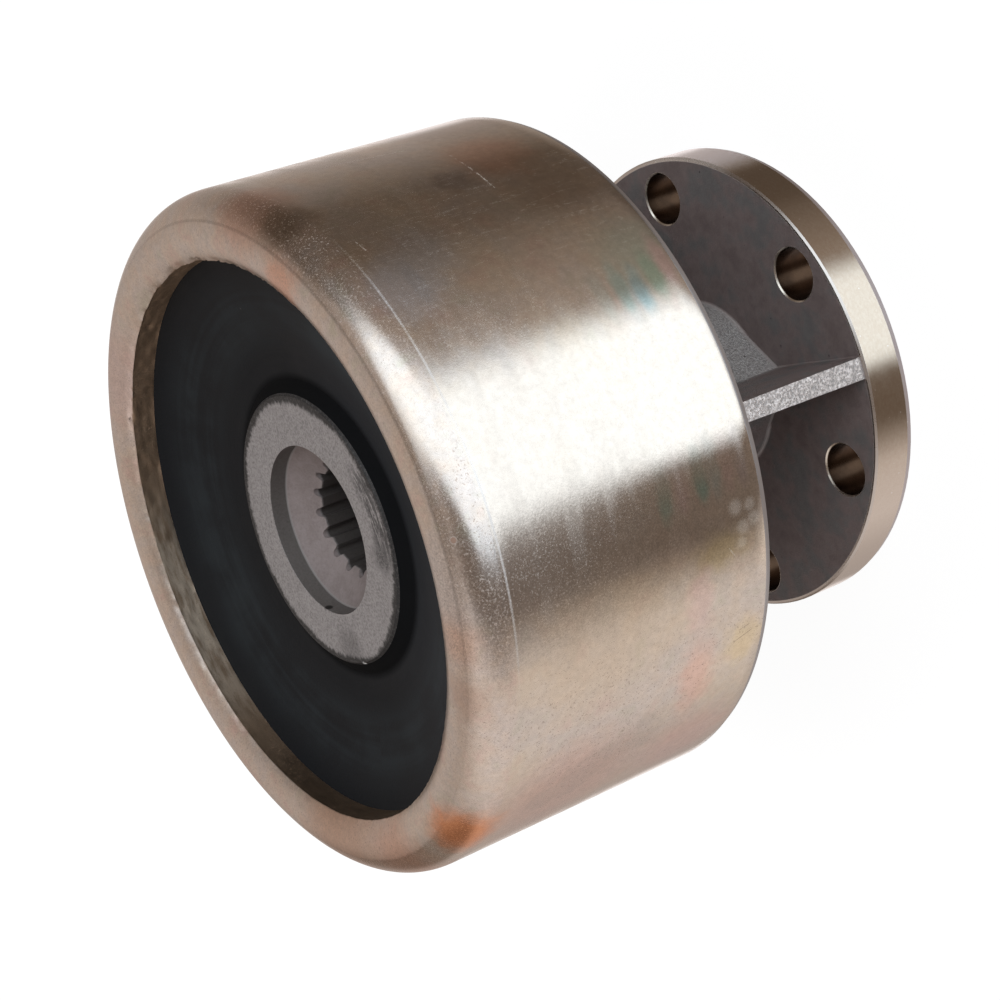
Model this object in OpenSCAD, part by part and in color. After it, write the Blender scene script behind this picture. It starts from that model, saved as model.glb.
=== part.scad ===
// Engine coupler: a rubber-sprung drive coupling for an inboard engine.
// The six-hole flange bolts to the crankshaft and a splined drive shaft slides into the hub.
// The casting's plate is pressed into the drum, and the rubber bonded between drum and hub
// carries the torque and takes up shock and small misalignment.
// Sizes are in millimetres. The coupler stands on its mounting face, which is z = 0 and is
// centred on the z axis; +z runs along the shaft axis towards the splined hub.

/* [Mounting flange] */
// Outside diameter of the machined mounting flange
flange_d = 110; // [106:0.5:124]
// Thickness of the mounting flange
flange_t = 11; // [8:0.5:16]
// Distance from the flange rim in to the centre of each bolt hole
bolt_edge = 9.5; // [9:0.5:13]
// Diameter of each bolt clearance hole
bolt_hole_d = 12; // [8:0.5:13]
// Number of bolt holes between one rib and the next
bolts_per_bay = 2; // [1:1:3]
// Chamfer round the bolt holes on both faces
hole_chamfer = 0.4; // [0.2:0.1:1.2]
// Diameter of the centre bore that locates the flange
pilot_d = 30; // [27:0.5:34]
// Chamfer round the centre bore at the mounting face
pilot_chamfer = 1; // [0.4:0.1:2]
// Length of the taper on the flange rim at the mounting face
rim_taper_len = 1.5; // [0.5:0.1:3]
// How far that taper draws the rim in
rim_taper = 0.5; // [0.2:0.1:1]
// Broken edge on the flange rim at the drum side
rim_edge = 0.4; // [0.2:0.1:0.5]

/* [Neck and ribs] */
// Clear length between the flange and the drum
neck_len = 50; // [38:1:70]
// Outside diameter of the hollow neck
neck_d = 41; // [38:0.5:48]
// Cast fillet where the neck meets the flange and the plate
neck_fillet = 1; // [0.5:0.1:3]
// Number of ribs round the neck
rib_count = 3; // [2:1:4]
// Rib thickness at the flange
rib_foot_t = 4.9; // [4.5:0.1:8]
// Rib thickness at the plate, thinner by the casting draft
rib_head_t = 4.2; // [3:0.1:4.5]
// How far the rib edge stands in from the flange rim
rib_inset = 0.5; // [0.5:0.1:6]
// Cast fillet along both sides of a rib at the flange and the plate
rib_fillet = 1.5; // [0.5:0.1:2.5]
// How far the flared root of a rib reaches out from the neck
rib_root = 6; // [3:0.5:10]

/* [Plate] */
// Thickness of the plate pressed into the drum
plate_t = 10; // [6:0.5:14]
// How far the plate sits inside the rear edge of the drum
plate_inset = 2; // [0.5:0.1:4]

/* [Drum] */
// Outside diameter of the drum
drum_d = 152; // [144:1:170]
// Wall thickness of the drum
drum_wall = 5.5; // [4:0.1:6.5]
// Length of the drum from the rear edge to the front of the rolled lip
drum_len = 73.5; // [64:0.5:90]
// Outside bend radius of the lip rolled in at the front
lip_bend_r = 8.5; // [7.5:0.1:11]
// How far the lip carries on inwards past the front of its bend
lip_turn = 5.5; // [3:0.1:6]
// Length of the taper on the outer rear edge of the drum
drum_taper_len = 1.5; // [0.5:0.1:3]
// How far that taper draws the edge in
drum_taper = 0.6; // [0.2:0.1:1.2]

/* [Rubber] */
// Depth of the dished rubber face from the lip down to the hub
dish_depth = 7; // [3:0.1:9]
// How far the dished face sags below a straight cone
dish_sag = 1.2; // [0.4:0.1:2]
// Width of the rubber collar round the hub
collar_w = 2.7; // [1:0.1:4]
// Thickness of rubber behind the hub
back_pad = 6; // [3:0.5:10]
// How far that rubber stands back from the centre bore
pad_setback = 2; // [1:0.1:5]

/* [Splined hub] */
// Outside diameter of the hub
hub_d = 61; // [54:0.5:68]
// How far the hub stands out of the foot of its collar
hub_stand = 2.5; // [0.8:0.1:4]
// Broken edge at both ends of the hub
hub_edge = 0.5; // [0.2:0.1:0.7]
// Diameter of the counterbore in the hub face
counterbore_d = 38; // [32:0.5:44]
// Depth of the counterbore wall
counterbore_depth = 4; // [2:0.1:8]
// Slope of the lead-in from the counterbore down to the spline, in degrees
lead_in_slope = 33; // [15:1:45]
// Number of spline grooves
spline_count = 16; // [12:1:18]
// Angle of the first spline groove from the first bolt hole, in degrees
spline_turn = 14.4; // [0:0.1:22.5]
// Diameter over the roots of the spline grooves
spline_major_d = 26.8; // [26:0.1:28]
// Diameter inside the spline teeth
spline_minor_d = 23.6; // [22.8:0.1:24.4]
// Groove width at its rounded root
groove_root_w = 2; // [1.4:0.1:2.2]
// Groove width at the tips of the teeth
groove_tip_w = 2.6; // [2.4:0.1:3]

/* [Hidden] */
$fa = 4;
$fs = 0.4;
// Small overlap that lets neighbouring cuts run through their faces
eps = 0.5;
// How far the fillets of a rib sink into the faces they join
fillet_sink = 0.3;
// How far the neck fillets sink into the neck and the face beside it
neck_sink = 0.1;
// How far a groove's straight flanks run inside its round root
root_overlap = 0.03;

// Radii
flange_r = flange_d / 2;
bolt_circle_r = flange_r - bolt_edge;
pilot_r = pilot_d / 2;
neck_r = neck_d / 2;
rib_r = flange_r - rib_inset;
rib_start = (pilot_r + neck_r) / 2;
drum_r = drum_d / 2;
drum_bore_r = drum_r - drum_wall;
lip_inner_r = lip_bend_r - drum_wall;
lip_front_r = drum_r - lip_bend_r;
mouth_r = lip_front_r - lip_turn;
hub_r = hub_d / 2;
foot_r = hub_r + collar_w;
counterbore_r = counterbore_d / 2;
major_r = spline_major_d / 2;
minor_r = spline_minor_d / 2;

// Heights above the mounting face
drum_z = flange_t + neck_len;
plate_rear_z = drum_z + plate_inset;
plate_z = plate_rear_z + plate_t;
front_z = drum_z + drum_len;
bend_z = front_z - lip_bend_r;
mouth_edge_z = bend_z + sqrt(lip_bend_r * lip_bend_r - lip_turn * lip_turn);
mouth_back_z = mouth_edge_z - drum_wall;
foot_z = mouth_back_z - dish_depth;
hub_z = foot_z + hub_stand;
hub_rear_z = plate_z + back_pad;

// Angles and counts
bay_angle = 360 / rib_count;
bolt_count = rib_count * bolts_per_bay;
bolt_step = 360 / bolt_count;
first_rib = bolt_step / 2;

// Arc of the dished rubber face through the foot of the lip and the foot of the collar
dish_chord = sqrt(pow(mouth_r - foot_r, 2) + pow(dish_depth, 2));
dish_r = (dish_chord * dish_chord / 4 + dish_sag * dish_sag) / (2 * dish_sag);
dish_rise = dish_r - dish_sag;
dish_cx = (mouth_r + foot_r) / 2 - dish_rise * dish_depth / dish_chord;
dish_cz = (mouth_back_z + foot_z) / 2 + dish_rise * (mouth_r - foot_r) / dish_chord;

// Colours
plated_steel = [0.80, 0.72, 0.58];
black_rubber = [0.09, 0.09, 0.10];
sintered_steel = [0.58, 0.57, 0.56];
cast_iron = [0.30, 0.28, 0.27];

// Half thickness of a rib at height z, from foot to head
function rib_half(z) =
    (rib_foot_t + (rib_head_t - rib_foot_t) * (z - flange_t) / (plate_rear_z - flange_t)) / 2;

// Section of the drum wall with its rolled lip, radius against height
module drum_section() {
    polygon([
        [drum_bore_r, drum_z],
        [drum_r - drum_taper, drum_z],
        [drum_r, drum_z + drum_taper_len],
        [drum_r, bend_z],
        [drum_bore_r, bend_z]
    ]);
    difference() {
        intersection() {
            translate([lip_front_r, bend_z])
                circle(r = lip_bend_r);
            translate([mouth_r, bend_z])
                square([drum_r - mouth_r, lip_bend_r]);
        }
        translate([lip_front_r, bend_z])
            circle(r = lip_inner_r);
        polygon([
            [mouth_r - eps, bend_z - eps],
            [lip_front_r, bend_z - eps],
            [lip_front_r, bend_z + lip_inner_r],
            [mouth_r, mouth_back_z],
            [mouth_r - eps, mouth_back_z]
        ]);
    }
}

// Space inside the drum in front of the plate, as far as the lip, radius against height
module drum_space() {
    translate([0, plate_z])
        square([drum_bore_r, bend_z - plate_z]);
    intersection() {
        translate([lip_front_r, bend_z])
            circle(r = lip_inner_r);
        translate([lip_front_r, bend_z])
            square([lip_inner_r, lip_inner_r]);
    }
    polygon([
        [0, bend_z],
        [lip_front_r, bend_z],
        [lip_front_r, bend_z + lip_inner_r],
        [mouth_r, mouth_back_z],
        [0, mouth_back_z]
    ]);
}

// Section of the rubber, dished in front and open behind the hub's bore
module rubber_section() {
    difference() {
        drum_space();
        translate([dish_cx, dish_cz])
            circle(r = dish_r);
        translate([0, hub_rear_z])
            square([hub_r, mouth_back_z]);
        translate([0, plate_z - eps])
            square([pilot_r + pad_setback, mouth_back_z]);
    }
    polygon([
        [hub_r, foot_z - collar_w],
        [foot_r + eps, foot_z - collar_w],
        [foot_r + eps, foot_z - eps * (hub_stand - hub_edge) / collar_w],
        [hub_r, hub_z - hub_edge]
    ]);
}

// Turned outline of the hub with its counterbore and lead-in, before the grooves are cut
module hub_section() {
    floor_z = hub_z - counterbore_depth;
    lead_in_h = (counterbore_r - minor_r) * tan(lead_in_slope);
    polygon([
        [minor_r, hub_rear_z],
        [hub_r - hub_edge, hub_rear_z],
        [hub_r, hub_rear_z + hub_edge],
        [hub_r, hub_z - hub_edge],
        [hub_r - hub_edge, hub_z],
        [counterbore_r, hub_z],
        [counterbore_r, floor_z],
        [minor_r, floor_z - lead_in_h]
    ]);
}

// Outline of one spline groove with a round root, pointing along +x
module groove_outline() {
    root_x = major_r - groove_root_w / 2;
    half_root = groove_root_w / 2 - root_overlap;
    polygon([
        [minor_r - 2 * eps, -groove_tip_w / 2],
        [minor_r, -groove_tip_w / 2],
        [root_x, -half_root],
        [root_x, half_root],
        [minor_r, groove_tip_w / 2],
        [minor_r - 2 * eps, groove_tip_w / 2]
    ]);
    translate([root_x, 0])
        circle(r = groove_root_w / 2);
}

// Turned outline of the casting: flange, neck, plate and the fillets between them
module casting_section() {
    polygon([
        [0, 0],
        [flange_r - rim_taper, 0],
        [flange_r, rim_taper_len],
        [flange_r, flange_t - rim_edge],
        [flange_r - rim_edge, flange_t],
        [0, flange_t]
    ]);
    square([neck_r, plate_z]);
    translate([0, plate_rear_z])
        square([drum_bore_r, plate_t]);
    neck_fillet_section(flange_t, 1);
    neck_fillet_section(plate_rear_z, -1);
}

// Fillet between the neck and the face at height z, growing up or down from it
module neck_fillet_section(z, up) {
    side = neck_fillet - neck_sink;
    difference() {
        translate([rib_start, up > 0 ? z - eps : z - side])
            square([neck_r + side - rib_start, side + eps]);
        translate([neck_r + side, z + up * side])
            circle(r = neck_fillet);
    }
}

// Cross-section of one rib, thickness against height, drafted and filleted at both ends
module rib_section() {
    polygon([
        [-rib_half(flange_t - eps), flange_t - eps],
        [rib_half(flange_t - eps), flange_t - eps],
        [rib_half(plate_rear_z + eps), plate_rear_z + eps],
        [-rib_half(plate_rear_z + eps), plate_rear_z + eps]
    ]);
    rib_end_section(flange_t, 1);
    rib_end_section(plate_rear_z, -1);
}

// Foot or head of the rib section with a fillet on both sides, from the face at height z
module rib_end_section(z, up) {
    side = rib_fillet - fillet_sink;
    half = rib_half(z + up * side);
    difference() {
        translate([-half - side, up > 0 ? z - 2 * eps : z - side])
            square([2 * (half + side), side + 2 * eps]);
        for (x = [-half - side, half + side])
            translate([x, z + up * side])
                circle(r = rib_fillet);
    }
}

// Flared root of one rib, seen along the axis: straight flanks that run off the neck to the rib's sides
module rib_root_outline() {
    tip_x = neck_r + rib_root;
    tip_y = rib_head_t / 2 - fillet_sink;
    near = neck_r - fillet_sink;
    touch = atan2(tip_y, tip_x) + acos(near / norm([tip_x, tip_y]));
    touch_x = near * cos(touch);
    touch_y = near * sin(touch);
    polygon([[touch_x, -touch_y], [tip_x, -tip_y], [tip_x, tip_y], [touch_x, touch_y]]);
}

// One rib with its flared root, pointing along +x, its outer edge rounded about the axis
module rib() {
    intersection() {
        translate([rib_start, 0, 0])
            rotate([90, 0, 90])
                linear_extrude(height = rib_r)
                    rib_section();
        cylinder(r = rib_r, h = plate_z);
    }
    translate([0, 0, flange_t - 3 * eps])
        linear_extrude(height = plate_rear_z - flange_t + 6 * eps)
            rib_root_outline();
}

// One chamfered bolt hole, centred on the bolt circle
module bolt_hole() {
    translate([bolt_circle_r, 0, 0]) {
        translate([0, 0, -eps])
            cylinder(r = bolt_hole_d / 2, h = flange_t + 2 * eps);
        translate([0, 0, -eps])
            cylinder(r1 = bolt_hole_d / 2 + hole_chamfer + eps, r2 = bolt_hole_d / 2,
                     h = hole_chamfer + eps);
        translate([0, 0, flange_t - hole_chamfer])
            cylinder(r1 = bolt_hole_d / 2, r2 = bolt_hole_d / 2 + hole_chamfer + eps,
                     h = hole_chamfer + eps);
    }
}

// Steel sleeve with its front end rolled in over the rubber
module drum() {
    color(plated_steel)
        rotate_extrude()
            drum_section();
}

// Rubber bonded between the drum, the plate and the hub
module rubber_insert() {
    color(black_rubber)
        rotate_extrude()
            rubber_section();
}

// Hub with a counterbore, a sloped lead-in and the internal spline for the drive shaft
module splined_hub() {
    color(sintered_steel)
        difference() {
            rotate_extrude()
                hub_section();
            translate([0, 0, hub_rear_z - eps])
                linear_extrude(height = hub_z - hub_rear_z + 2 * eps)
                    for (i = [0 : spline_count - 1])
                        rotate(spline_turn + i * 360 / spline_count)
                            groove_outline();
        }
}

// Casting with the bolted flange, hollow ribbed neck and the plate held in the drum
module flange_casting() {
    color(cast_iron)
        difference() {
            union() {
                rotate_extrude()
                    casting_section();
                for (i = [0 : rib_count - 1])
                    rotate(first_rib + i * bay_angle)
                        rib();
            }
            translate([0, 0, -eps])
                cylinder(r = pilot_r, h = plate_z + 2 * eps);
            translate([0, 0, -eps])
                cylinder(r1 = pilot_r + pilot_chamfer + eps, r2 = pilot_r,
                         h = pilot_chamfer + eps);
            for (i = [0 : bolt_count - 1])
                rotate(i * bolt_step)
                    bolt_hole();
        }
}

drum();
rubber_insert();
splined_hub();
flange_casting();
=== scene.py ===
import math

import bpy
from bpy.props import FloatProperty, FloatVectorProperty, IntProperty, PointerProperty
from mathutils import Matrix, Vector, noise


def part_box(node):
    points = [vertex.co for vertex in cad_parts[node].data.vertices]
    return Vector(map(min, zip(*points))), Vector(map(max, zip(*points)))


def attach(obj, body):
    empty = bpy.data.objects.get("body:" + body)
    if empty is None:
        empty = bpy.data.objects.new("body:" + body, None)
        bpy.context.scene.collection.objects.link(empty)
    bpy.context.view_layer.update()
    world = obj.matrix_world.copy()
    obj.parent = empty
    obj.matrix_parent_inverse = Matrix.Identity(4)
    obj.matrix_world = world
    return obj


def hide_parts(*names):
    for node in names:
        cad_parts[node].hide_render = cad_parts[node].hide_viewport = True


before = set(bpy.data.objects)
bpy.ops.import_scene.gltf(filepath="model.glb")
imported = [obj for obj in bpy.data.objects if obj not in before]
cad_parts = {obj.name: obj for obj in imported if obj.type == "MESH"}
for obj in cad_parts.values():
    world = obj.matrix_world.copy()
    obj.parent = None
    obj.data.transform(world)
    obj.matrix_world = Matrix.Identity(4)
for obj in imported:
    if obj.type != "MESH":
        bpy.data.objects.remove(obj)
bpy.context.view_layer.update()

bl_info = {
    "name": "Engine Coupler",
    "version": (1, 0, 0),
    "blender": (4, 5, 0),
    "location": "View3D > Sidebar > Coupler",
    "description": "Dresses the engine coupler: plated drum, rubber core, splined hub and flange casting",
    "category": "Object",
}

# Outside radius of the drum in millimetres.
DRUM_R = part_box("drum")[1].x * 1000.0


class Sock:
    """A shader socket that takes part in sums with numbers and with other sockets."""

    def __init__(self, sheet, socket):
        self.sheet = sheet
        self.socket = socket

    def join(self, word, other=0.0, turned=False):
        """One operation: colours go through Mix, vectors through Vector Math and values through Math."""
        first, second = (other, self) if turned else (self, other)
        kinds = {s.socket.type for s in (self, other) if isinstance(s, Sock)}
        if "RGBA" in kinds:
            settings = {"data_type": "RGBA", "blend_type": word}
            return self.sheet.node("ShaderNodeMix", settings, {"Factor": 1.0, "A": first, "B": second})
        kind = "ShaderNodeVectorMath" if "VECTOR" in kinds else "ShaderNodeMath"
        return self.sheet.node(kind, {"operation": word}, {0: first, 1: second})

    def __add__(self, other):
        return self.join("ADD", other)

    def __radd__(self, other):
        return self.join("ADD", other, True)

    def __sub__(self, other):
        return self.join("SUBTRACT", other)

    def __rsub__(self, other):
        return self.join("SUBTRACT", other, True)

    def __mul__(self, other):
        return self.join("MULTIPLY", other)

    def __rmul__(self, other):
        return self.join("MULTIPLY", other, True)

    def __truediv__(self, other):
        return self.join("DIVIDE", other)

    def __rtruediv__(self, other):
        return self.join("DIVIDE", other, True)


class Sheet:
    """A node tree written as sums of sockets."""

    def __init__(self, tree):
        self.tree = tree
        tree.nodes.clear()

    def node(self, kind, settings=None, values=None, out=None):
        """Adds a node: its settings first, then the values or links of its sockets. Gives one output."""
        made = self.tree.nodes.new(kind)
        for name, value in (settings or {}).items():
            if name == "stops":
                ramp = made.color_ramp.elements
                ramp.remove(ramp[1])
                for place, (position, colour) in enumerate(value):
                    stop = ramp[0] if place == 0 else ramp.new(position)
                    stop.position = position
                    stop.color = (*colour, 1.0)
            else:
                setattr(made, name, value)
        for key, value in (values or {}).items():
            socket = self.pick(made.inputs, key)
            if isinstance(value, Sock):
                self.tree.links.new(value.socket, socket)
            elif socket.type in ("RGBA", "VECTOR"):
                value = value if isinstance(value, tuple) else (value,) * 3
                socket.default_value = (*value, 1.0) if socket.type == "RGBA" else value
            else:
                socket.default_value = value
        return Sock(self, self.pick(made.outputs, out))

    @staticmethod
    def pick(sockets, key):
        """The socket with that number or name, among those in use; the first one where no key is given."""
        if isinstance(key, int):
            return sockets[key]
        for socket in sockets:
            if socket.enabled and key in (None, socket.name):
                return socket
        return None

    def noise(self, place, scale, detail=3.0, rough=0.5, out="Fac"):
        values = {"Vector": place, "Scale": scale, "Detail": detail, "Roughness": rough}
        return self.node("ShaderNodeTexNoise", None, values, out)

    def cells(self, place, scale, out="Distance"):
        return self.node("ShaderNodeTexVoronoi", None, {"Vector": place, "Scale": scale}, out)

    def step(self, value, low, high, top=1.0):
        """Rises smoothly from 0 at low to the top at high, or falls where low is the larger."""
        settings = {"interpolation_type": "SMOOTHSTEP"}
        values = {"Value": value, "From Min": low, "From Max": high, "To Max": top}
        return self.node("ShaderNodeMapRange", settings, values)

    def mix(self, share, first, second):
        return self.node("ShaderNodeMix", {"data_type": "RGBA"}, {"Factor": share, "A": first, "B": second})

    def ramp(self, value, stops, interpolation="LINEAR"):
        made = self.node("ShaderNodeValToRGB", {"stops": stops}, {"Fac": value})
        made.socket.node.color_ramp.interpolation = interpolation
        return made

    def vector(self, x, y, z):
        return self.node("ShaderNodeCombineXYZ", None, {0: x, 1: y, 2: z})

    def parts(self, vector):
        made = self.node("ShaderNodeSeparateXYZ", None, {0: vector}).socket.node
        return [Sock(self, socket) for socket in made.outputs]


class Finish(Sheet):
    """A material in the coupler's own measures: millimetres, radius, angle and height on the shaft axis."""

    def __init__(self, name):
        self.material = bpy.data.materials.new(name)
        self.material.use_nodes = True
        super().__init__(self.material.node_tree)
        self.point = self.node("ShaderNodeTexCoord", out="Object") * 1000.0
        self.x, self.y, self.z = self.parts(self.point)
        self.r = (self.x * self.x + self.y * self.y).join("SQRT")
        self.turn = self.y.join("ARCTAN2", self.x) * (180.0 / math.pi)

    def wrap(self, across, along):
        """Place on the turned surface for streaks: cycles per radian round it and per millimetre along it."""
        return self.vector(self.x / self.r * across, self.y / self.r * across, self.z * along)

    def sector(self, angle, full, none):
        """1 within so many degrees of an angle round the axis, 0 beyond the second number of degrees."""
        way = math.radians(angle)
        squarely = (self.x * math.cos(way) + self.y * math.sin(way)) / self.r
        return self.step(squarely, math.cos(math.radians(none)), math.cos(math.radians(full)))

    def ragged(self, scale, reach):
        """The point moved about by noise, for stains with uneven edges."""
        values = {0: self.noise(self.point, scale, 2.0, 0.6, "Color"), 1: 2.0 * reach, 2: self.point - reach}
        return self.node("ShaderNodeVectorMath", {"operation": "MULTIPLY_ADD"}, values)

    def band(self, value, low, high, soft):
        """1 between two values, with soft edges inside them."""
        return self.step(value, low, low + soft) * self.step(value, high, high - soft)

    def spot(self, place, centre, inner, outer, share=1.0):
        """That share within the inner distance of a centre, 0 outside the outer."""
        far = self.node("ShaderNodeVectorMath", {"operation": "DISTANCE"}, {0: place, 1: centre}, "Value")
        return self.step(far, outer, inner, share)

    def specks(self, place, scale, size, share):
        """Scattered dots: a share of the cells carry one, of up to that radius in millimetres."""
        luck = self.parts(self.cells(place, scale, "Color"))[0]
        radius = ((luck - (1.0 - share)) * (size * scale / share)).join("MAXIMUM", 0.0001)
        return self.step(self.cells(place, scale) / radius, 1.0, 0.55)

    def scratch(self, place, first, last, width):
        """1 on a straight scratch between two points of a flat or unrolled place."""
        run = Vector(last) - Vector(first)
        values = {0: place - first, 1: tuple(run / run.length_squared)}
        share = self.node("ShaderNodeVectorMath", {"operation": "DOT_PRODUCT"}, values, "Value")
        share = share.join("MAXIMUM", 0.0).join("MINIMUM", 1.0)
        moved = self.node("ShaderNodeVectorMath", {"operation": "SCALE"}, {0: tuple(run), "Scale": share})
        return self.spot(place - moved, first, width * 0.4, width)

    def bump(self, height, depth, strength=1.0):
        """Surface normal for a height of 0 to 1 that stands for that depth in millimetres."""
        values = {"Height": height, "Distance": depth * 0.001, "Strength": strength}
        return self.node("ShaderNodeBump", None, values)

    def lay(self, **values):
        names = [name.replace("_", " ").title().replace("Ior", "IOR") for name in values]
        shader = self.node("ShaderNodeBsdfPrincipled", None, dict(zip(names, values.values())))
        self.node("ShaderNodeOutputMaterial", None, {"Surface": shader})
        return self.material


def lathe(name, loop, turns, shift):
    """A closed turned mesh from (radius, height) points in metres; shift moves them by index and angle."""
    points, faces = [], []
    count = len(loop)
    for turn in range(turns):
        angle = 2.0 * math.pi * turn / turns
        for index, (radius, height) in enumerate(loop):
            more_r, more_z = shift(index, angle)
            radius, height = radius + more_r, height + more_z
            points.append((radius * math.cos(angle), radius * math.sin(angle), height))
            here, there = turn * count, (turn + 1) % turns * count
            after = (index + 1) % count
            faces.append((here + index, there + index, there + after, here + after))
    mesh = bpy.data.meshes.new(name)
    mesh.from_pydata(points, [], faces)
    mesh.validate()
    mesh.shade_smooth()
    mesh.set_sharp_from_angle(angle=math.radians(32.0))
    made = bpy.data.objects.new(name, mesh)
    bpy.context.scene.collection.objects.link(made)
    return made


def arc(centre, radius, start, end, count):
    """Points on an arc, (radius, height), from start to end in degrees."""
    step = math.radians(end - start) / count
    angles = [math.radians(start) + step * i for i in range(count + 1)]
    return [(centre[0] + radius * math.cos(a), centre[1] + radius * math.sin(a)) for a in angles]


def line(first, last, count):
    """Points along a straight run, the last one left out."""
    return [tuple(a + (b - a) * i / count for a, b in zip(first, last)) for i in range(count)]


def unroll(turn, height):
    """Place on the drum's side rolled out flat, from an angle in degrees and a height in millimetres."""
    return (math.radians(turn) * DRUM_R, height, 0.0)


class CameraSettings(bpy.types.PropertyGroup):
    place: FloatVectorProperty(name="Place", description="Where the camera stands", subtype="TRANSLATION",
                               unit="LENGTH", default=(0.0657, -0.4581, 0.3524))
    look: FloatVectorProperty(name="Look", description="Direction the camera looks in", subtype="DIRECTION",
                              default=(-0.1361, 0.8487, -0.5111))
    up: FloatVectorProperty(name="Up", description="Direction of the picture's upper edge",
                            subtype="DIRECTION", default=(0.9524, -0.0299, -0.3034))
    lens: FloatProperty(name="Lens", description="Focal length on a 36 mm sensor", unit="CAMERA",
                        default=86.75)


class StageSettings(bpy.types.PropertyGroup):
    floor_size: FloatProperty(name="Floor", description="Side of the floor", unit="LENGTH", default=24.0)
    shadow: FloatProperty(name="Shadow", description="How much of the object's shadow the floor keeps",
                          subtype="FACTOR", default=0.12, min=0.0, max=1.0)
    white: FloatProperty(name="White", description="Strength of the white floor in the picture", default=1.06)
    softbox: FloatVectorProperty(name="Softbox", description="Light of the big softbox over the camera",
                                 subtype="COLOR", default=(1.36, 1.50, 1.66), soft_max=2.0)
    lamp_power: FloatProperty(name="Lamp", description="Power of the softbox lamp in watts", default=5.0)
    lamp_size: FloatProperty(name="Lamp size", description="Side of the softbox lamp", unit="LENGTH",
                             default=0.8)


class DrumSettings(bpy.types.PropertyGroup):
    wall: FloatProperty(name="Wall", description="Wall of the drum", unit="LENGTH", default=0.0055)
    bend: FloatProperty(name="Bend", description="Outside bend radius of the rolled lip", unit="LENGTH",
                        default=0.0085)
    turn: FloatProperty(name="Turn", description="How far the lip runs inwards past its front", unit="LENGTH",
                        default=0.0055)
    taper_len: FloatProperty(name="Taper length", description="Length of the taper on the rear edge",
                             unit="LENGTH", default=0.0015)
    taper: FloatProperty(name="Taper", description="How far that taper draws the edge in", unit="LENGTH",
                         default=0.0006)
    ragged: FloatProperty(name="Ragged", description="Unevenness of the lip's cut edge", unit="LENGTH",
                          default=0.00030)
    crease: FloatProperty(name="Crease", description="Where round the bend the roller left an edge",
                          default=70.0)
    ridge: FloatProperty(name="Ridge", description="Height of that edge", unit="LENGTH", default=0.00004)
    turns: IntProperty(name="Turns", description="Faces round the drum", default=420)
    gold: FloatVectorProperty(name="Gold", description="Pale champagne of the plating", subtype="COLOR",
                              default=(0.80, 0.70, 0.57))
    grey: FloatVectorProperty(name="Grey", description="Greyer, pinker plating", subtype="COLOR",
                              default=(0.74, 0.665, 0.60))


class RubberSettings(bpy.types.PropertyGroup):
    black: FloatVectorProperty(name="Black", description="Colour of the rubber", subtype="COLOR",
                               default=(0.0076, 0.0088, 0.0104))
    worn: FloatVectorProperty(name="Worn", description="Colour where the face is rubbed", subtype="COLOR",
                              default=(0.0180, 0.0220, 0.0245))
    dust: FloatVectorProperty(name="Dust", description="Colour of the dust on it", subtype="COLOR",
                              default=(0.09, 0.09, 0.09))


class HubSettings(bpy.types.PropertyGroup):
    pale: FloatVectorProperty(name="Pale", description="Pale grey of the blasted face", subtype="COLOR",
                              default=(0.43, 0.405, 0.395))
    dark: FloatVectorProperty(name="Dark", description="Dark grey of its pores", subtype="COLOR",
                              default=(0.17, 0.16, 0.155))
    film: FloatVectorProperty(name="Film", description="Rubber film at the rim", subtype="COLOR",
                              default=(0.011, 0.0105, 0.010))
    bore: FloatVectorProperty(name="Bore", description="Oiled steel of the spline", subtype="COLOR",
                              default=(0.055, 0.047, 0.043))


class CastingSettings(bpy.types.PropertyGroup):
    iron: FloatVectorProperty(name="Iron", description="Dark brown-grey of the cast skin", subtype="COLOR",
                              default=(0.150, 0.118, 0.111))
    bright: FloatVectorProperty(name="Bright", description="Grey of turned and ground iron", subtype="COLOR",
                                default=(0.40, 0.37, 0.35))
    gold: FloatVectorProperty(name="Gold", description="Champagne plating of the rim and holes",
                              subtype="COLOR", default=(0.62, 0.52, 0.41))


class COUPLER_OT_camera(bpy.types.Operator):
    """Sets up the camera at the photograph's viewing angle"""

    bl_idname = "coupler.camera"
    bl_label = "Camera"

    def execute(self, context):
        props = context.scene.coupler_camera
        back = -Vector(props.look).normalized()
        right = Vector(props.up).cross(back).normalized()
        turn = Matrix((right, back.cross(right), back)).transposed().to_4x4()
        data = bpy.data.cameras.new("camera")
        data.sensor_width = 36.0
        data.lens = props.lens
        data.clip_start, data.clip_end = 0.01, 60.0
        made = bpy.data.objects.new("camera", data)
        made.matrix_world = Matrix.Translation(props.place) @ turn
        context.scene.collection.objects.link(made)
        context.scene.camera = made
        context.scene.view_settings.view_transform = "Standard"
        return {"FINISHED"}


# The studio's walls: angle round the shaft axis in degrees and tone.
WALLS = ((-180, 0.72), (-150, 0.70), (-128, 0.17), (-60, 0.22), (-40, 0.34), (0, 0.12),
         (25, 0.11), (65, 0.40), (100, 0.48), (125, 0.42), (155, 0.53), (180, 0.72))
# Boards and tables before the walls: angle round, height, half width and half height in degrees, and tone.
BOARDS = ((138, 8, 25, 20, 0.20), (96, -38, 24, 26, 1.00), (15, 66, 32, 15, 0.40), (0, 90, 600, 13, 0.22))
# The softbox by height: height, left and right side as angles round the axis, and share of its light.
SOFTBOX = ((-63, -101, -49, 0.0), (-54, -101, -49, 1.0), (-38, -100, -49, 1.0), (-30, -101, -49, 1.0),
           (-25, -107, -49, 1.0), (0, -104, -49, 1.0), (15, -104, -37.8, 1.0), (50, -79.5, -11.5, 1.0),
           (63, -70.4, -1.8, 0.86), (77, -60.6, 8.8, 0.52), (90, -51.5, 18.5, 0.18))


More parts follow.
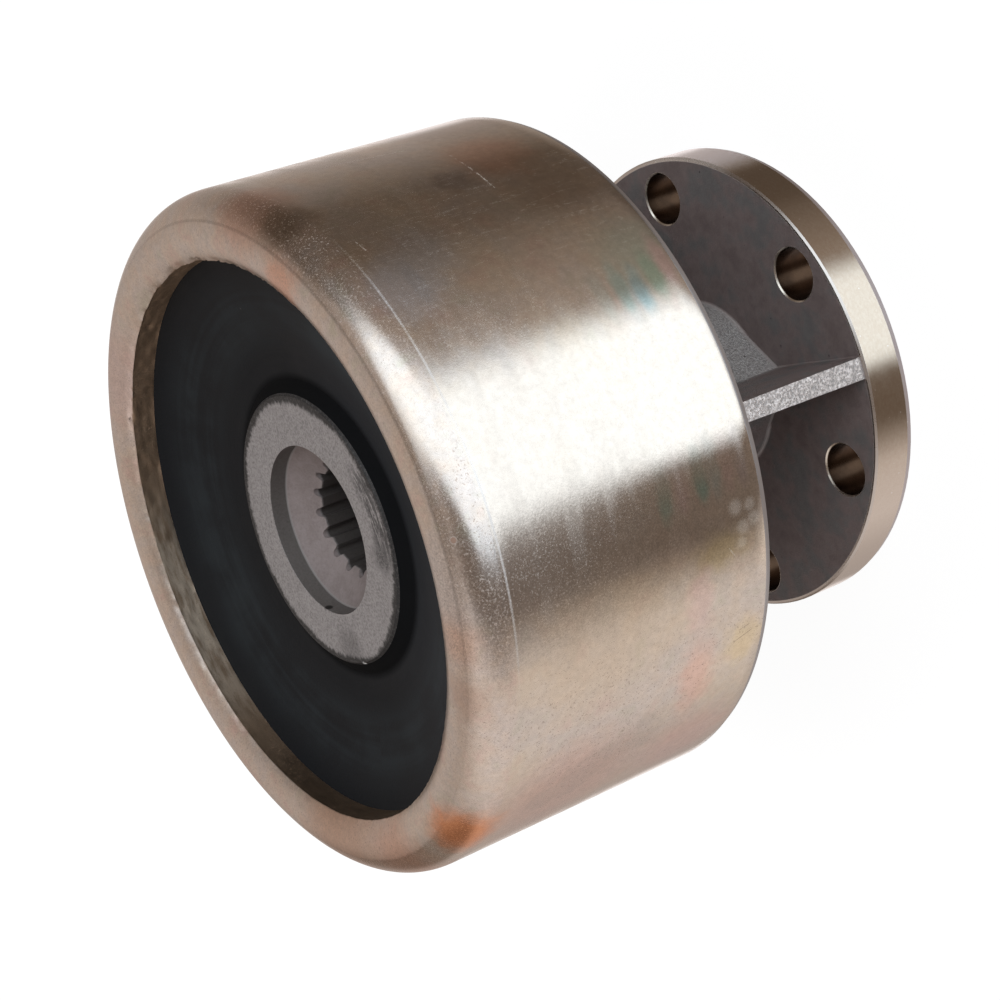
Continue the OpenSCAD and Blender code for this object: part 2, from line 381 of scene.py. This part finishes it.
def warm(tone):
    """Colour of a wall of that tone, browner where it is dark."""
    pale = min(1.0, tone / 0.6)
    return (tone, tone * (0.74 + 0.18 * pale), tone * (0.57 + 0.33 * pale))


class COUPLER_OT_stage(bpy.types.Operator):
    """Lays the white floor and lights it with soft studio surroundings"""

    bl_idname = "coupler.stage"
    bl_label = "Stage"

    def execute(self, context):
        props = context.scene.coupler_stage
        self.floor(context, props)
        self.surroundings(context, props)
        lamp = bpy.data.lights.new("softbox", "AREA")
        lamp.energy = props.lamp_power
        lamp.size = props.lamp_size
        made = bpy.data.objects.new("softbox", lamp)
        towards = Vector((0.42, -0.74, 0.52)).normalized()
        made.location = Vector((0.0, 0.0, 0.08)) + towards * 1.1
        made.rotation_euler = towards.to_track_quat("Z", "Y").to_euler()
        made.visible_glossy = False
        context.scene.collection.objects.link(made)
        return {"FINISHED"}

    def floor(self, context, props):
        """A white floor that takes the shadow; metal mirrors the studio past it."""
        half = props.floor_size / 2.0
        mesh = bpy.data.meshes.new("floor")
        corners = [(-half, -half, 0), (half, -half, 0), (half, half, 0), (-half, half, 0)]
        mesh.from_pydata(corners, [], [(0, 1, 2, 3)])
        made = bpy.data.objects.new("floor", mesh)
        context.scene.collection.objects.link(made)
        made.visible_glossy = False
        material = bpy.data.materials.new("white_floor")
        material.use_nodes = True
        sheet = Sheet(material.node_tree)
        paper = sheet.node("ShaderNodeBsdfDiffuse", None, {"Color": (0.86, 0.86, 0.86)})
        white = sheet.node("ShaderNodeEmission", None, {"Color": (1.0, 1.0, 1.0), "Strength": props.white})
        far = sheet.node("ShaderNodeVectorMath", {"operation": "LENGTH"},
                         {0: sheet.node("ShaderNodeTexCoord", out="Object")}, "Value")
        share = self.background(sheet) * (1.0 - sheet.step(far, 0.17, 0.07, props.shadow))
        both = sheet.node("ShaderNodeMixShader", None, {0: share, 1: paper, 2: white})
        sheet.node("ShaderNodeOutputMaterial", None, {"Surface": both})
        mesh.materials.append(material)

    @staticmethod
    def background(sheet):
        """1 for the rays that show the white background."""
        seen = sheet.node("ShaderNodeLightPath", out="Is Camera Ray")
        through = sheet.node("ShaderNodeLightPath", out="Is Transmission Ray")
        return seen.join("MAXIMUM", through)

    def surroundings(self, context, props):
        """The softbox over the camera, dark boards beside it, warm walls further round and pale tables."""
        world = bpy.data.worlds.new("studio")
        context.scene.world = world
        world.use_nodes = True
        sheet = Sheet(world.node_tree)
        x, y, z = sheet.parts(sheet.node("ShaderNodeTexCoord", out="Generated"))
        around = y.join("ARCTAN2", x) / (2.0 * math.pi) + 0.5
        above = z.join("ARCSINE") / math.pi + 0.5
        light = sheet.ramp(around, [((turn + 180.0) / 360.0, warm(tone)) for turn, tone in WALLS])
        light = sheet.mix(sheet.step(above, 0.78, 0.94), light, warm(0.36))
        light = sheet.mix(sheet.step(above, 0.19, 0.145), light, warm(0.40))
        place = sheet.vector(around, above, 0.0)
        for turn, height, wide, tall, tone in BOARDS:
            values = {0: place, 1: (360.0 / wide, 180.0 / tall, 0.0),
                      2: (-(turn + 180.0) / wide, -(height + 90.0) / tall, 0.0)}
            off = sheet.node("ShaderNodeVectorMath", {"operation": "MULTIPLY_ADD"}, values)
            off = sheet.node("ShaderNodeVectorMath", {"operation": "LENGTH"}, {0: off}, "Value")
            light = sheet.mix(sheet.step(off, 1.22, 0.7), light, warm(tone))
        stops = [((height + 90.0) / 180.0, ((left + 180.0) / 360.0, (right + 180.0) / 360.0, share))
                 for height, left, right, share in SOFTBOX]
        left, right, share = sheet.parts(sheet.ramp(above, stops))
        box = sheet.step(around - left, -0.011, 0.014) * sheet.step(around - right, 0.022, -0.022) * share
        light = sheet.mix(box, light, tuple(props.softbox))
        shown = sheet.mix(self.background(sheet), light, (1.0, 1.0, 1.0))
        back = sheet.node("ShaderNodeBackground", None, {"Color": shown, "Strength": 1.0})
        sheet.node("ShaderNodeOutputWorld", None, {"Surface": back})


# Hues that the plating drifts through, from pink over champagne to green.
MOTTLE = ((0.30, (0.78, 0.56, 0.47)), (0.44, (0.80, 0.69, 0.55)),
          (0.58, (0.76, 0.70, 0.62)), (0.72, (0.66, 0.66, 0.50)))
# Stains of the plating in millimetres: centre, full and outer reach, squeeze along the axis, colour, share.
STAINS = (
    ((40.0, -64.6, 69.0), 3.0, 14.0, 1.0, (0.58, 0.66, 0.54), 0.60),
    ((47.0, -59.7, 121.0), 3.0, 11.0, 1.0, (0.84, 0.86, 0.90), 0.80),
    ((52.0, -55.4, 112.0), 3.0, 12.0, 1.0, (0.70, 0.72, 0.74), 0.60),
    ((66.7, -36.5, 78.0), 4.0, 14.0, 1.0, (0.86, 0.55, 0.40), 0.70),
    ((57.0, -50.3, 74.0), 4.0, 14.0, 1.0, (0.58, 0.48, 0.39), 0.55),
    ((75.0, -12.0, 70.0), 8.0, 24.0, 1.0, (0.46, 0.38, 0.32), 0.55),
    ((63.3, -42.0, 92.0), 2.0, 6.0, 1.0, (0.46, 0.40, 0.36), 0.55),
    ((-8.5, -75.5, 121.0), 3.0, 11.0, 1.0, (1.00, 0.95, 0.90), 0.85),
    ((-17.0, -74.1, 86.0), 2.0, 10.0, 0.5, (0.64, 0.52, 0.41), 0.60),
    ((-46.9, -59.8, 79.4), 3.0, 15.0, 2.2, (0.94, 0.58, 0.46), 0.55),
    ((-29.9, -69.9, 80.1), 2.0, 10.0, 2.0, (0.84, 0.62, 0.58), 0.50),
    ((-63.1, -42.4, 76.0), 5.0, 17.0, 1.0, (0.86, 0.58, 0.52), 0.60),
    ((-61.5, -44.6, 108.0), 6.0, 24.0, 0.8, (0.84, 0.58, 0.49), 0.70),
    ((-42.7, -62.8, 67.2), 2.0, 8.0, 1.0, (0.86, 0.70, 0.42), 0.60),
    ((-21.0, -73.0, 74.0), 1.5, 6.0, 0.6, (0.62, 0.50, 0.24), 0.55),
    ((-10.0, -75.3, 108.0), 4.0, 16.0, 0.6, (0.70, 0.66, 0.58), 0.40),
    ((-30.0, -70.0, 105.0), 6.0, 22.0, 0.8, (0.80, 0.66, 0.48), 0.50),
    ((-62.5, -40.5, 131.0), 3.0, 11.0, 1.0, (0.98, 0.40, 0.17), 0.90),
    ((-69.5, -16.0, 132.0), 4.0, 15.0, 1.0, (0.76, 0.48, 0.35), 0.75),
    ((-66.9, 8.1, 133.5), 6.0, 22.0, 1.0, (0.66, 0.45, 0.33), 0.75),
    ((69.0, -28.0, 130.8), 4.0, 13.0, 1.0, (0.74, 0.46, 0.34), 0.65),
    ((65.0, -38.5, 129.6), 1.5, 9.0, 1.0, (0.36, 0.27, 0.19), 0.75),
    ((53.3, -38.6, 134.3), 2.0, 9.0, 1.0, (0.88, 0.50, 0.34), 0.70),
    ((-19.3, -66.2, 134.4), 2.0, 9.0, 1.0, (0.76, 0.52, 0.40), 0.55),
    ((-31.6, -62.8, 134.0), 1.5, 7.0, 1.0, (0.62, 0.44, 0.34), 0.55),
    ((40.3, 49.0, 133.5), 5.0, 20.0, 1.0, (0.82, 0.64, 0.58), 0.60),
)
# Scratches: angle and height of both ends in degrees and millimetres, half width, and whether they are dark.
SCRATCHES = (
    ((-25.7, 85.0), (-38.6, 85.8), 0.28, False),
    ((-15.7, 107.2), (-16.6, 100.0), 0.26, True),
    ((-16.6, 100.0), (-18.4, 90.1), 0.26, True),
    ((-106.6, 72.0), (-108.9, 70.0), 0.20, False),
    ((-99.4, 120.3), (-100.9, 120.2), 0.24, False),
    ((-99.5, 119.5), (-100.4, 119.4), 0.16, False),
    ((-41.0, 121.8), (-43.2, 121.4), 0.20, False),
    ((-123.9, 70.0), (-122.8, 65.6), 0.16, True),
    ((-121.9, 69.0), (-121.4, 66.4), 0.14, True),
)
# Columns of oily sheen: angle, height, colour and share.
SHEEN = (
    (-63.0, 82.0, (0.62, 0.66, 0.58), 0.55),
    (-63.5, 77.0, (0.48, 0.66, 0.60), 0.70),
    (-64.5, 73.0, (0.44, 0.65, 0.66), 0.75),
    (-62.5, 68.5, (0.46, 0.66, 0.52), 0.70),
    (-61.0, 64.5, (0.84, 0.60, 0.58), 0.60),
    (-52.0, 117.0, (0.62, 0.66, 0.70), 0.45),
    (-94.5, 86.0, (0.46, 0.66, 0.58), 0.70),
    (-94.0, 81.5, (0.84, 0.66, 0.66), 0.55),
    (-93.5, 76.5, (0.34, 0.62, 0.56), 0.85),
    (-93.0, 73.0, (0.50, 0.72, 0.74), 0.65),
    (-92.7, 69.5, (0.86, 0.64, 0.66), 0.65),
    (-92.5, 66.0, (0.66, 0.60, 0.68), 0.60),
)
# Dried drops near the rear edge: angle, height and radius.
DROPS = ((-100.6, 69.3, 2.4), (-100.9, 65.6, 2.0), (-103.2, 65.0, 2.3),
         (-104.0, 68.0, 2.2), (-106.4, 68.6, 1.7))


class COUPLER_OT_drum(bpy.types.Operator):
    """Turns the drum with its rolled, uneven lip and plates it"""

    bl_idname = "coupler.drum"
    bl_label = "Drum"

    def execute(self, context):
        props = context.scene.coupler_drum
        low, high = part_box("drum")
        outer, rear, front = high.x, low.z, high.z
        bore, start = outer - props.wall, front - props.bend
        crown = outer - props.bend
        mouth = crown - props.turn
        end = 180.0 - math.degrees(math.acos(props.turn / props.bend))
        loop = line((bore, rear), (outer - props.taper, rear), 3)
        loop += line((outer - props.taper, rear), (outer, rear + props.taper_len), 2)
        loop += line((outer, rear + props.taper_len), (outer, start - 0.0004), 24)
        loop += [(outer, start - 0.0004), (outer - 0.00002, start - 0.0001)]
        bend = arc((crown - 0.00002, start), props.bend, 0.0, end, 34)
        crease = round(props.crease / end * 34)
        bend[crease] = tuple(place + props.ridge * way for place, way in zip(bend[crease], (0.34, 0.94)))
        edge_from = len(loop) + len(bend) - 2
        loop += bend
        edge_z = bend[-1][1]
        loop += line((mouth, edge_z - 0.0002), (mouth, edge_z - props.wall), 9)
        edge_to = len(loop)
        inner = props.bend - props.wall
        loop += [(mouth, edge_z - props.wall)]
        loop += arc((crown, start), inner, 90.0, 0.0, 8)
        loop += line((bore, start), (bore, rear), 6)[1:]

        def shift(index, angle):
            if not edge_from <= index < edge_to:
                return 0.0, 0.0
            across, along = math.cos(angle), math.sin(angle)
            coarse = noise.noise(Vector((across * 9.0, along * 9.0, 0.3)))
            fine = noise.noise(Vector((across * 60.0, along * 60.0, index * 0.35)))
            nick = noise.noise(Vector((across * 26.0, along * 26.0, 7.1 + index * 0.15)))
            nick = max(0.0, nick - 0.42) * 3.0
            torn = props.ragged * (0.45 + 0.9 * max(0.0, math.cos(angle - math.radians(35.0))))
            return torn * (0.8 * coarse + 0.7 * fine + 0.8 * nick), -torn * (fine + nick) * 0.5

        made = lathe("drum_shell", loop, props.turns, shift)
        made.data.materials.append(self.plating(props))
        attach(made, "root")
        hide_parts("drum")
        return {"FINISHED"}

    def plating(self, props):
        f = Finish("plated_steel")
        lip = f.step(f.z, 125.6, 126.4)
        ring = f.step(f.r, 71.0, 70.5) * lip
        polished = f.step(f.z, 112.0, 72.0)
        # Painted highlight: lit marks the stretch of the side where the softbox is mirrored; it is painted
        # paler and cleaner, with fewer specks.
        lit = f.sector(-81.8, 9.0, 16.0) * (1.0 - lip)
        under = f.sector(-152.0, 28.0, 46.0)
        cloud = f.noise(f.point, 0.035, 3.0, 0.55)
        grain = f.noise(f.point, 2.6, 2.0, 0.6)
        columns = f.noise(f.wrap(3.0, 0.24), 1.0, 1.0)
        patchy = f.noise(f.point, 0.7, 2.0)

        # Champagne that drifts to pink and green, stained, with columns of oily sheen near the rear edge, and
        # with a painted grey reflection stripe and a painted paler highlight on one side.
        uneven = f.ragged(0.22, 3.0)
        colour = f.mix(f.step(cloud, 0.36, 0.64), tuple(props.gold), tuple(props.grey))
        colour = f.mix(0.35 + 0.35 * lip, colour, f.ramp(f.noise(f.point, 0.14, 3.0, 0.62), MOTTLE))
        colour = f.mix(lip * 0.30, colour, (0.80, 0.67, 0.62))
        for centre, inner, outer, squeeze, tint, share in STAINS:
            place = uneven if squeeze == 1.0 else uneven * (1.0, 1.0, squeeze)
            centre = (*centre[:2], centre[2] * squeeze)
            colour = f.mix(f.spot(place, centre, inner, outer, share), colour, tint)
        # Painted reflection: a greyer stripe along the edge of the softbox's mirrored stretch, where a dark
        # band lies.
        colour = f.mix(f.sector(-96.5, 5.0, 9.0) * 0.45, colour, (0.70, 0.66, 0.63))
        unrolled = f.vector(f.turn * (math.pi / 180.0 * DRUM_R), f.z, 0.0)
        frayed = uneven - f.point
        column = Vector((0.13, 0.4, 0.0))
        place = unrolled * tuple(column) + frayed * (0.10, 0.10, 0.0)
        for turn, height, tint, share in SHEEN:
            centre = tuple(Vector(unroll(turn, height)) * column)
            colour = f.mix(f.spot(place, centre, 0.3, 1.1, share), colour, tint)
        # Painted highlight: a paler, cleaner champagne where the softbox is mirrored.
        colour = f.mix(lit * 0.8, colour, (0.79, 0.70, 0.60))

        # The lip's crease with painted shade, the fold where the bend starts with a painted highlight, the
        # rear taper, and the cut wall of the mouth with painted highlight and shade.
        # Painted shade: the crease is darkened as a thin line, more on one side of the lip.
        crease = f.band(f.r, 70.3, 71.2, 0.3) * lip * (0.06 + f.sector(-50.0, 25.0, 80.0) * 0.16)
        # Painted reflection: the grain is painted stronger in the dark mirrored band on one side of the drum.
        speckle = 0.24 + 0.34 * lip + 0.55 * f.sector(-101.0, 6.0, 15.0)
        colour = colour * (1.0 - crease) * (0.85 + 0.30 * patchy) * (1.0 + speckle * (grain - 0.5))
        # Painted highlight: a pale line where the bend starts, on one side only.
        painted_fold_highlight = f.band(f.z, 125.0, 125.8, 0.3) * f.sector(-78.0, 20.0, 42.0)
        painted_fold_highlight = painted_fold_highlight * f.step(grain * 0.3 + cloud * 0.7, 0.38, 0.54)
        colour = f.mix(painted_fold_highlight * 0.36, colour, (0.78, 0.81, 0.84))
        edge = f.step(f.z, 62.6, 62.45)
        colour = f.mix(edge, colour, (0.50, 0.49, 0.49))
        wall = f.step(f.r, 62.8, 62.35) * f.step(f.z, 132.7, 132.3)
        torn = f.noise(f.wrap(9.0, 0.7), 1.0, 3.0, 0.6)
        # Paler torn patches on one side of the mouth wall, partly wear and partly painted highlight.
        worn = f.sector(106.0, 8.0, 30.0) * f.step(torn, 0.34, 0.60)
        brown = f.mix(worn, (0.42, 0.305, 0.21), (0.60, 0.50, 0.39))
        # Painted shade: the wall is darkened towards the side at 172 degrees.
        brown = brown * (0.65 + 0.7 * torn) * (1.0 - 0.42 * f.sector(172.0, 14.0, 40.0))
        colour = f.mix(wall, colour, brown)

        # Dirt, specks and scratches.
        dirt = f.step(f.noise(f.point, 2.1, 1.0), 0.62, 0.70) * f.step(cloud, 0.36, 0.52)
        dirt = dirt * under.join("MAXIMUM", lip * 0.7) * 0.5
        dirt = dirt.join("MAXIMUM", f.specks(f.point, 0.12, 0.36, 0.55) * (1.0 - lit) * 0.7)
        dirt = dirt.join("MAXIMUM", f.spot(f.point, (-0.1, -72.9, 132.6), 0.45, 0.9))
        threads = f.noise(f.wrap(42.0, 0.06), 1.0, 1.0)
        marks = f.step((threads - 0.5).join("ABSOLUTE"), 0.020, 0.004, 0.17)
        marks = marks * f.sector(-48.0, 8.0, 22.0) * (1.0 - lip)
        for first, last, width, dark in SCRATCHES:
            drawn = f.scratch(unrolled, unroll(*first), unroll(*last), width)
            if dark:
                dirt = dirt.join("MAXIMUM", drawn * 0.6)
            else:
                marks = marks.join("MAXIMUM", drawn)
        marks = marks * f.step(patchy, 0.36, 0.60, 0.5)
        for turn, height, reach in DROPS:
            drop = f.spot(unrolled, unroll(turn, height), reach * 0.3, reach, 0.25)
            marks = marks.join("MAXIMUM", drop)
        blurred = unrolled + frayed * (2.2, 2.2, 0.0)
        smudge = f.scratch(blurred, unroll(-142.8, 113.1), unroll(-137.05, 91.0), 7.0)
        colour = f.mix(smudge * f.step(grain, 0.30, 0.70, 0.42), colour, (0.42, 0.40, 0.34))
        colour = f.mix(dirt * 0.85, colour, (0.21, 0.105, 0.06))
        colour = f.mix(marks * 0.8, colour, (0.90, 0.86, 0.80))

        haze = f.step(columns, 0.46, 0.66)
        rough = 0.18 - 0.09 * polished + 0.06 * haze + 0.03 * lip + 0.10 * ring
        rough = rough + 0.12 * f.step(grain, 0.52, 0.72) * (1.2 - polished) * (1.0 - 0.6 * lit)
        rough = rough + 0.12 * painted_fold_highlight + 0.25 * edge + 0.24 * wall + 0.25 * dirt + 0.2 * marks
        metallic = 1.0 - 0.85 * dirt - 0.45 * marks - 0.25 * painted_fold_highlight
        normal = f.bump(grain * (1.0 - 0.5 * polished), 0.009)
        return f.lay(base_color=colour, roughness=rough, metallic=metallic, normal=normal)


class COUPLER_OT_rubber(bpy.types.Operator):
    """Gives the rubber core its matte, dusty moulded face"""

    bl_idname = "coupler.rubber"
    bl_label = "Rubber"

    def execute(self, context):
        props = context.scene.coupler_rubber
        f = Finish("black_rubber")
        cloud = f.noise(f.point, 0.07, 4.0, 0.62)
        grain = f.noise(f.point, 1.8, 3.0, 0.6)
        rings = f.noise(f.vector(f.r * 0.45, f.turn * 0.010, 0.0), 1.0, 4.0, 0.65)
        # Painted shade: the collar ring by the hub is darkened and kept free of dust.
        painted_shade_collar = f.step(f.r, 35.2, 32.8)
        rubbed = f.band(f.r, 38.0, 60.5, 9.0) * f.step(cloud * 0.55 + rings * 0.45, 0.36, 0.66)
        colour = f.mix(rubbed, tuple(props.black), tuple(props.worn))
        dust = f.specks(f.point, 0.16, 0.30, 0.35) * (1.0 - painted_shade_collar)
        colour = f.mix(dust * 0.5, colour, tuple(props.dust))
        # Painted shade and light: the collar ring is darkened, and the face is painted up to 2.25 times
        # lighter on one side, where the light falls.
        colour = colour * (1.0 - 0.8 * painted_shade_collar) * (1.05 + 1.2 * f.sector(-88.0, 20.0, 85.0))
        nick = f.spot(f.ragged(0.7, 0.9), (-26.8, 46.9, 125.4), 0.6, 1.5)
        colour = f.mix(nick * 0.8, colour, (0.001, 0.001, 0.001))
        rough = 0.50 + 0.2 * cloud + 0.14 * (rings - 0.5) + 0.3 * painted_shade_collar
        height = 0.5 * grain + 0.35 * rings
        material = f.lay(base_color=colour, roughness=rough, specular_ior_level=0.2,
                         normal=f.bump(height, 0.05))
        set_finish("rubber_insert", material)
        return {"FINISHED"}


class COUPLER_OT_hub(bpy.types.Operator):
    """Gives the hub its grainy pale face, rubber film and dark spline"""

    bl_idname = "coupler.hub"
    bl_label = "Hub"

    def execute(self, context):
        props = context.scene.coupler_hub
        f = Finish("sintered_steel")
        grain = f.noise(f.point, 1.7, 5.0, 0.78)
        cloud = f.noise(f.point, 0.30, 4.0, 0.65)
        colour = f.mix(f.step(grain, 0.22, 0.68), tuple(props.dark), tuple(props.pale))
        soiled = f.spot(f.ragged(0.5, 1.5), (-26.5, 0.5, 122.5), 1.5, 7.0, 0.32)
        colour = colour * (0.84 + 0.32 * cloud) * (1.0 - soiled)
        floor = f.step(f.z, 118.8, 118.3) * f.step(f.z, 113.2, 114.2)
        bare = f.mix(f.step(cloud, 0.35, 0.65), (0.29, 0.24, 0.23), (0.235, 0.19, 0.18))
        colour = f.mix(floor * 0.8, colour, bare)
        # Painted shade: the counterbore wall is darkened.
        wall = f.band(f.z, 118.3, 122.45, 0.12) * f.step(f.r, 19.4, 19.1)
        colour = f.mix(wall * 0.85, colour, (0.090, 0.080, 0.073))
        # Painted highlight: a pale line along the foot of the counterbore wall.
        painted_wall_foot_highlight = f.band(f.z, 118.2, 118.75, 0.2) * f.step(f.r, 19.4, 19.1)
        colour = f.mix(painted_wall_foot_highlight * 0.6, colour, (0.36, 0.34, 0.33))
        colour = f.mix(f.step(f.z, 114.0, 113.2) * 0.94, colour, tuple(props.bore))
        frayed = f.noise(f.vector(f.x / f.r * 24.0, f.y / f.r * 24.0, f.r * 0.35), 1.0, 4.0, 0.75)
        side = f.step(f.noise(f.wrap(1.3, 0.0), 1.0, 1.0), 0.35, 0.65)
        film = f.step(f.r + (frayed - 0.5) * 3.2 + (grain - 0.5) * 1.6 + 1.0 * side, 28.8, 29.9)
        smear = f.spot(f.ragged(0.8, 2.4), (-6.5, -25.0, 122.5), 1.2, 5.5) * f.step(grain, 0.44, 0.54)
        stripes = f.band(f.turn, -114.0, -54.0, 16.0) * f.step(f.r, 22.5, 25.5)
        brushed = f.noise(f.vector(f.r * 1.1, f.turn * 0.09, 0.0), 1.0, 3.0, 0.65)
        stripes = stripes * f.step(brushed, 0.41, 0.53)
        dark = film.join("MAXIMUM", smear * 0.9).join("MAXIMUM", stripes * 0.8)
        rubber = f.mix(f.step(grain, 0.48, 0.74), tuple(props.film), (0.085, 0.082, 0.08))
        colour = f.mix(dark * 0.94, colour, rubber)
        pit = f.spot(f.point, (-17.7, 6.9, 121.6), 0.6, 1.15)
        pit = pit.join("MAXIMUM", f.specks(f.point, 0.35, 0.35, 0.25) * 0.7)
        colour = f.mix(pit * 0.95, colour, (0.014, 0.012, 0.011))
        chip = f.spot(f.ragged(0.9, 0.5), (-30.2, -3.2, 122.2), 0.35, 0.8)
        colour = f.mix(chip, colour, (0.75, 0.75, 0.74))
        rough = 0.58 - 0.10 * dark + 0.12 * (cloud - 0.5)
        metal = 0.25 * (1.0 - dark)
        material = f.lay(base_color=colour, roughness=rough, metallic=metal, specular_ior_level=0.35,
                         normal=f.bump(grain, 0.07))
        set_finish("splined_hub", material)
        return {"FINISHED"}


class COUPLER_OT_casting(bpy.types.Operator):
    """Gives the casting its dark skin, plated rim and bright rib edges"""

    bl_idname = "coupler.casting"
    bl_label = "Casting"

    def execute(self, context):
        props = context.scene.coupler_casting
        f = Finish("cast_iron")
        grain = f.noise(f.point, 1.9, 4.0, 0.68)
        cloud = f.noise(f.point, 0.14, 4.0, 0.6)
        patch = f.noise(f.point, 0.40, 5.0, 0.68)
        sand = f.step(grain, 0.34, 0.66)
        low = f.step(f.z, 11.12, 11.02)
        raised = f.step(f.z, 11.1, 12.0)

        # Cast skin: purple-brown face, paler sandy neck and rib roots that stay dark on one flank as painted
        # shade, a painted highlight along the neck's foot fillet, and dark pits.
        tones = ((0.36, tuple(props.iron)), (0.48, (0.174, 0.138, 0.131)), (0.62, (0.138, 0.130, 0.126)))
        skin = f.ramp(cloud, tones)
        skin = skin * (0.68 + 0.64 * patch)
        neck = raised * f.step(f.r, 30.0, 25.0)
        # Painted shade: the pale sandy skin of the neck is kept off one flank, which stays dark.
        shaded = f.sector(-135.0, 30.0, 44.0)
        rubbed = neck * (0.9 - 0.8 * shaded) * (0.55 + 0.9 * patch)
        skin = f.mix(rubbed, skin, f.mix(sand, (0.20, 0.188, 0.182), (0.42, 0.40, 0.385)))
        # Painted highlight: a pale band along the fillet at the neck's foot.
        painted_fillet_highlight = f.band(f.z, 11.04, 12.2, 0.3) * f.step(f.r, 31.0, 27.0)
        skin = f.mix(painted_fillet_highlight * 0.7, skin, (0.36, 0.325, 0.31))
        pits = f.specks(f.point, 0.28, 0.5, 0.4) * f.step(patch, 0.42, 0.60)
        skin = f.mix(pits * 0.8, skin, (0.035, 0.028, 0.027))

        # Ground edges of the ribs.
        ground = raised * f.step(f.r, 54.0, 54.3)
        colour = f.mix(ground, skin, f.mix(sand, tuple(props.bright), (0.94, 0.87, 0.82)))

        # Turned rim with its bright front edge, painted highlights on two sides, and grey taper at the
        # mounting face.
        rim = f.step(f.r, 54.0, 54.2) * low
        streak = f.noise(f.wrap(60.0, 1.4), 1.0, 3.0, 0.6)
        plating = f.mix(f.step(streak, 0.35, 0.70), tuple(props.gold), (0.66, 0.57, 0.46))
        # Painted highlight: the rim is painted near white and less metallic on one side.
        painted_rim_highlight = f.sector(-12.0, 7.0, 19.0)
        plating = f.mix(painted_rim_highlight, plating, (0.95, 0.88, 0.87))
        # Painted highlight: the rim is painted paler on another side.
        plating = f.mix(f.sector(-145.0, 15.0, 40.0) * 0.6, plating, (0.80, 0.71, 0.63))
        broken = f.band(f.z, 10.5, 11.1, 0.1)
        plating = f.mix(broken, plating, (0.70, 0.64, 0.58))
        taper = f.step(f.z, 1.6, 1.4)
        plating = f.mix(taper, plating, (0.74, 0.70, 0.71))
        colour = f.mix(rim, colour, plating)
        scuffs = f.specks(f.wrap(40.0, 0.8), 1.0, 0.2, 0.25) * rim
        colour = f.mix(scuffs * 0.6, colour, (0.94, 0.92, 0.88))

        # Bolt holes, every sixth of a turn on the bolt circle, their plated walls painted dark as shade.
        sixth = ((f.turn / 60.0 + 12.5).join("FRACT") - 0.5) * (math.pi / 3.0)
        aside = f.r * sixth.join("SINE")
        out = f.r * sixth.join("COSINE") - 45.5
        hole = (aside * aside + out * out).join("SQRT")
        drilled = f.step(hole, 6.5, 6.4) * low
        # Painted shade: the plated hole walls are painted dark brown; their chamfer is pale.
        painted_shade_hole_colour = f.mix(f.step(cloud, 0.35, 0.65), (0.082, 0.048, 0.029), (0.050, 0.030, 0.019))
        painted_shade_hole_colour = f.mix(f.band(hole, 6.05, 6.5, 0.1), painted_shade_hole_colour, (0.84, 0.77, 0.66))
        colour = f.mix(drilled, colour, painted_shade_hole_colour)

        metal = rim.join("MAXIMUM", ground).join("MAXIMUM", drilled)
        rough = 0.56 + 0.14 * (patch - 0.5) - 0.40 * rim - 0.18 * ground - 0.28 * drilled
        rough = rough + 0.28 * (rim * taper) + 0.12 * (rim * broken) + 0.1 * scuffs
        height = sand * (0.35 + 0.65 * raised) * (1.0 - rim) * (1.0 - drilled)
        metallic = 0.12 + 0.88 * metal - 0.25 * (rim * painted_rim_highlight)
        material = f.lay(base_color=colour, roughness=rough, metallic=metallic, normal=f.bump(height, 0.075))
        set_finish("flange_casting", material)
        return {"FINISHED"}


def set_finish(node, material):
    """Puts a material on every slot of a CAD node."""
    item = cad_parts[node]
    if not item.material_slots:
        item.data.materials.append(material)
    for slot in item.material_slots:
        slot.material = material


class COUPLER_PT_sidebar(bpy.types.Panel):
    """Settings and steps of the coupler's dressing"""

    bl_idname = "COUPLER_PT_sidebar"
    bl_label = "Engine Coupler"
    bl_space_type = "VIEW_3D"
    bl_region_type = "UI"
    bl_category = "Coupler"

    def draw(self, context):
        for operator, key, kind in STEPS:
            box = self.layout.box()
            for name in kind.__annotations__:
                box.prop(getattr(context.scene, key), name)
            box.operator(operator.bl_idname)


STEPS = (
    (COUPLER_OT_camera, "coupler_camera", CameraSettings),
    (COUPLER_OT_stage, "coupler_stage", StageSettings),
    (COUPLER_OT_drum, "coupler_drum", DrumSettings),
    (COUPLER_OT_rubber, "coupler_rubber", RubberSettings),
    (COUPLER_OT_hub, "coupler_hub", HubSettings),
    (COUPLER_OT_casting, "coupler_casting", CastingSettings),
)


def register():
    for operator, key, kind in STEPS:
        bpy.utils.register_class(kind)
        bpy.utils.register_class(operator)
        setattr(bpy.types.Scene, key, PointerProperty(type=kind))
    bpy.utils.register_class(COUPLER_PT_sidebar)


def unregister():
    bpy.utils.unregister_class(COUPLER_PT_sidebar)
    for operator, key, kind in reversed(STEPS):
        delattr(bpy.types.Scene, key)
        bpy.utils.unregister_class(operator)
        bpy.utils.unregister_class(kind)


def main():
    register()
    bpy.ops.coupler.camera()
    bpy.ops.coupler.stage()
    bpy.ops.coupler.drum()
    bpy.ops.coupler.rubber()
    bpy.ops.coupler.hub()
    bpy.ops.coupler.casting()


if __name__ == "__main__":
    main()
